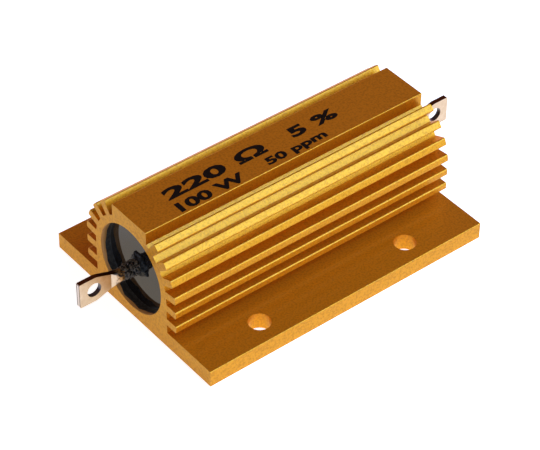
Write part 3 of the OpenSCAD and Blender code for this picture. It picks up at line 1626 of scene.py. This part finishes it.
@dataclass
class Studio:
    """A pale table inside a dome of soft boxes and warm drapes, and the camera.

    Lengths are in metres and angles in degrees, unless they say otherwise. The camera's azimuth
    is 0 on the -Y side of the set, and 90 on the +X side.

    Attributes:
        table_radius: How far the table reaches.
        table_sides: How many sides it has.
        table_drop: How far it lies below the mounting face.
        table_colour: The colour of its paper.
        table_glow_seen: The glow that makes it white for the camera.
        table_glow_mirrored: How bright it looks in a mirroring surface.
        table_glow_beneath: How bright it looks there right under the resistor.
        table_glow_far: How bright it looks there far off to the left.
        table_glow_reach: Where along X that brightness starts and ends its fall.
        table_tone: The colour that it has in a mirroring surface.
        footprint: Half the length and width of the resistor's flange.
        panels: The parts of the dome.
        aim: What the camera looks at.
        azimuth: Where the camera stands round the set.
        elevation: How high it stands.
        roll: How far it leans.
        distance: How far it is from its aim.
        lens: Its focal length in millimetres.
        sensor: The width of its sensor in millimetres.
    """

    table_radius: float = 3.0
    table_sides: int = 48
    table_drop: float = 0.00002
    table_colour: str = "#e6e6e6"
    table_glow_seen: float = 0.92
    table_glow_mirrored: float = 0.86
    table_glow_beneath: float = 1.4
    table_glow_far: float = 0.15
    table_glow_reach: tuple[float, float] = (-0.055, -0.085)
    table_tone: str = "#ffedd3"
    footprint: tuple[float, float] = (0.0326, 0.02375)
    panels: tuple[Panel, ...] = (
        Panel("key_box", (20, 70), (38, 65), 6.1, "#b0caff"),
        Panel("key_box_skirt", (10, 60), (12, 38), 5.1, "#b0c8ff"),
        Panel("low_box", (10, 60), (0, 12), 1.3),
        Panel("side_box", (60, 110), (0, 38), 0.6),
        Panel("side_box_top", (70, 110), (38, 65), 0.2, "#ffb9b5"),
        Panel("front_fill", (-60, 10), (0, 38), 0.42),
        Panel("front_fill_top", (-60, 20), (38, 65), 0.14),
        Panel("left_fill", (-100, -60), (0, 65), 0.17),
        Panel("back_right_wall", (110, 170), (0, 20), 1.45, "#ffb9b5"),
        Panel("back_right_drape", (110, 170), (20, 65), 0.17, "#ffb9b5"),
        Panel("back_drape", (170, 220), (0, 65), 0.24, "#ffcfae"),
        Panel("back_left_drape", (220, 260), (0, 65), 0.18, "#ffb9b5"),
        Panel("ceiling", (0, 360), (65, 90), 0.08, "#ffb9b5"),
    )
    aim: Vector = field(default_factory=lambda: Vector((-1.786, -2.134, 6.852)) * MM)
    azimuth: float = -39.047
    elevation: float = 41.479
    roll: float = 0.664
    distance: float = 0.43203
    lens: float = 152.284
    sensor: float = 36.0

    def camera(self) -> None:
        """Places the camera and makes it the scene's own."""
        data = bpy.data.cameras.new("camera")
        data.lens = self.lens
        data.sensor_width = self.sensor
        data.clip_start = 0.01
        data.clip_end = 20.0
        shot = new_piece("camera", data)
        back = towards(self.azimuth, self.elevation)
        turn = back.to_track_quat("Z", "Y").to_matrix().to_4x4()
        lean = Matrix.Rotation(math.radians(self.roll), 4, "Z")
        shot.matrix_world = Matrix.Translation(self.aim + back * self.distance) @ turn @ lean
        bpy.context.scene.camera = shot

    def world(self) -> None:
        """Makes what lies outside the dome white for the camera, and for mirrors and glass."""
        world = bpy.data.worlds.new("studio")
        world.use_nodes = True
        tree = world.node_tree
        tree.nodes.clear()
        path = add(tree, "ShaderNodeLightPath")
        seen = add(
            tree,
            "ShaderNodeMath",
            {0: path.outputs["Is Camera Ray"], 1: path.outputs["Is Glossy Ray"]},
            operation="MAXIMUM",
        )
        white = add(
            tree,
            "ShaderNodeMath",
            {0: seen, 1: path.outputs["Is Transmission Ray"]},
            operation="MAXIMUM",
        )
        light = add(tree, "ShaderNodeBackground", {"Color": (1, 1, 1, 1), "Strength": white})
        add(tree, "ShaderNodeOutputWorld", {"Surface": light})
        bpy.context.scene.world = world

    def table(self) -> None:
        """Lays the pale table, which is seen as white and keeps the resistor's shadow."""
        turns = [2 * math.pi * i / self.table_sides for i in range(self.table_sides)]
        rim = [
            (self.table_radius * math.cos(t), self.table_radius * math.sin(t), -self.table_drop)
            for t in turns
        ]
        piece = new_piece("table", new_mesh("table", rim, [tuple(range(self.table_sides))]))
        material, tree = new_tree("table_paper")
        path = add(tree, "ShaderNodeLightPath")
        mirrored = add(
            tree,
            "ShaderNodeMath",
            {0: path.outputs["Is Glossy Ray"], 1: path.outputs["Is Transmission Ray"]},
            operation="MAXIMUM",
        )
        place = add(tree, "ShaderNodeTexCoord")
        where = add(tree, "ShaderNodeSeparateXYZ", {"Vector": place.outputs["Object"]})
        near, far = self.table_glow_reach
        glow_there = add(
            tree,
            "ShaderNodeMapRange",
            {
                "Value": where.outputs["X"],
                "From Min": far,
                "From Max": near,
                "To Min": self.table_glow_far,
                "To Max": self.table_glow_mirrored,
            },
        )
        inside = []
        for axis, half in zip("XY", self.footprint):
            off = add(tree, "ShaderNodeMath", {0: where.outputs[axis]}, operation="ABSOLUTE")
            near_it = add(tree, "ShaderNodeMath", {0: off, 1: half}, operation="LESS_THAN")
            inside.append(near_it.outputs[0])
        beneath = add(tree, "ShaderNodeMath", {0: inside[0], 1: inside[1]}, operation="MULTIPLY")
        glow_below = add(
            tree, "ShaderNodeMath", {0: beneath, 1: self.table_glow_beneath}, operation="MULTIPLY"
        )
        glow_either = add(
            tree, "ShaderNodeMath", {0: glow_there, 1: glow_below}, operation="MAXIMUM"
        )
        glow_mirrored = add(
            tree, "ShaderNodeMath", {0: mirrored, 1: glow_either}, operation="MULTIPLY"
        )
        glow = add(
            tree,
            "ShaderNodeMath",
            {0: path.outputs["Is Camera Ray"], 1: self.table_glow_seen, 2: glow_mirrored},
            operation="MULTIPLY_ADD",
        )
        paper = add(tree, "ShaderNodeBsdfDiffuse", {"Color": linear(self.table_colour)})
        tone = add(
            tree,
            "ShaderNodeMix",
            {"Factor": mirrored, "A": (1, 1, 1, 1), "B": linear(self.table_tone)},
            data_type="RGBA",
        )
        shine = add(tree, "ShaderNodeEmission", {"Color": tone.outputs["Result"], "Strength": glow})
        both = add(tree, "ShaderNodeAddShader", {0: paper, 1: shine})
        close_shader(tree, both)
        dress(piece, material)

    def build(self) -> None:
        """Sets up the whole studio."""
        self.camera()
        self.world()
        self.table()
        for panel in self.panels:
            panel.hang()
        bpy.context.scene.view_settings.view_transform = "Standard"


def main() -> None:
    """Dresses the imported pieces, adds the fine ones and sets up the studio."""
    logging.basicConfig(level=logging.INFO, format="%(name)s: %(message)s")
    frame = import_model()
    nodes = frame["nodes"]

    gold = GoldAnodisedAluminium().build()
    compound = MouldingCompound().build()
    crept = CREPT_COMPOUND.build()
    heaped = HEAPED_COMPOUND.build()
    lumpy = COLLAR_COMPOUND.build()
    bored = BORE_WALL_PAINTED_LIGHT.build()
    tinned = TinnedBrass().build()
    steel = CAP_STEEL.build()
    ceramic = CORE_CERAMIC.build()
    wire = RESISTANCE_WIRE.build()
    ink = MARKING_INK.build()

    housing = Housing(top=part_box("housing")[1], finish=gold, ink=ink)
    housing.dress(nodes["housing"])
    log.info("housing dressed")
    moulding_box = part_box("moulding")
    made = [
        housing.print_marks(),
        MouldedBody(nodes["moulding"], *moulding_box, finish=compound).make(),
        WoundElement(*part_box("resistance_winding"), finish=wire).make(),
    ]
    finishes = {"ceramic_core": ceramic, "resistance_winding": wire}
    for end in End:
        moulded_end = MouldedEnd(end, *moulding_box, housing.top.x, crept, heaped, lumpy, bored)
        made += [moulded_end.edge(), moulded_end.wall(), moulded_end.foot(), moulded_end.collar()]
        side = end.name.lower()
        finishes |= {f"end_cap_{side}": steel, f"terminal_{side}": tinned}
    for name, finish in finishes.items():
        dress(nodes[name], finish)
        log.info("%s dressed", name)
    for piece in made:
        log.info("%s made, with %d faces", piece.name, len(piece.data.polygons))

    Studio().build()


if __name__ == "__main__":
    main()
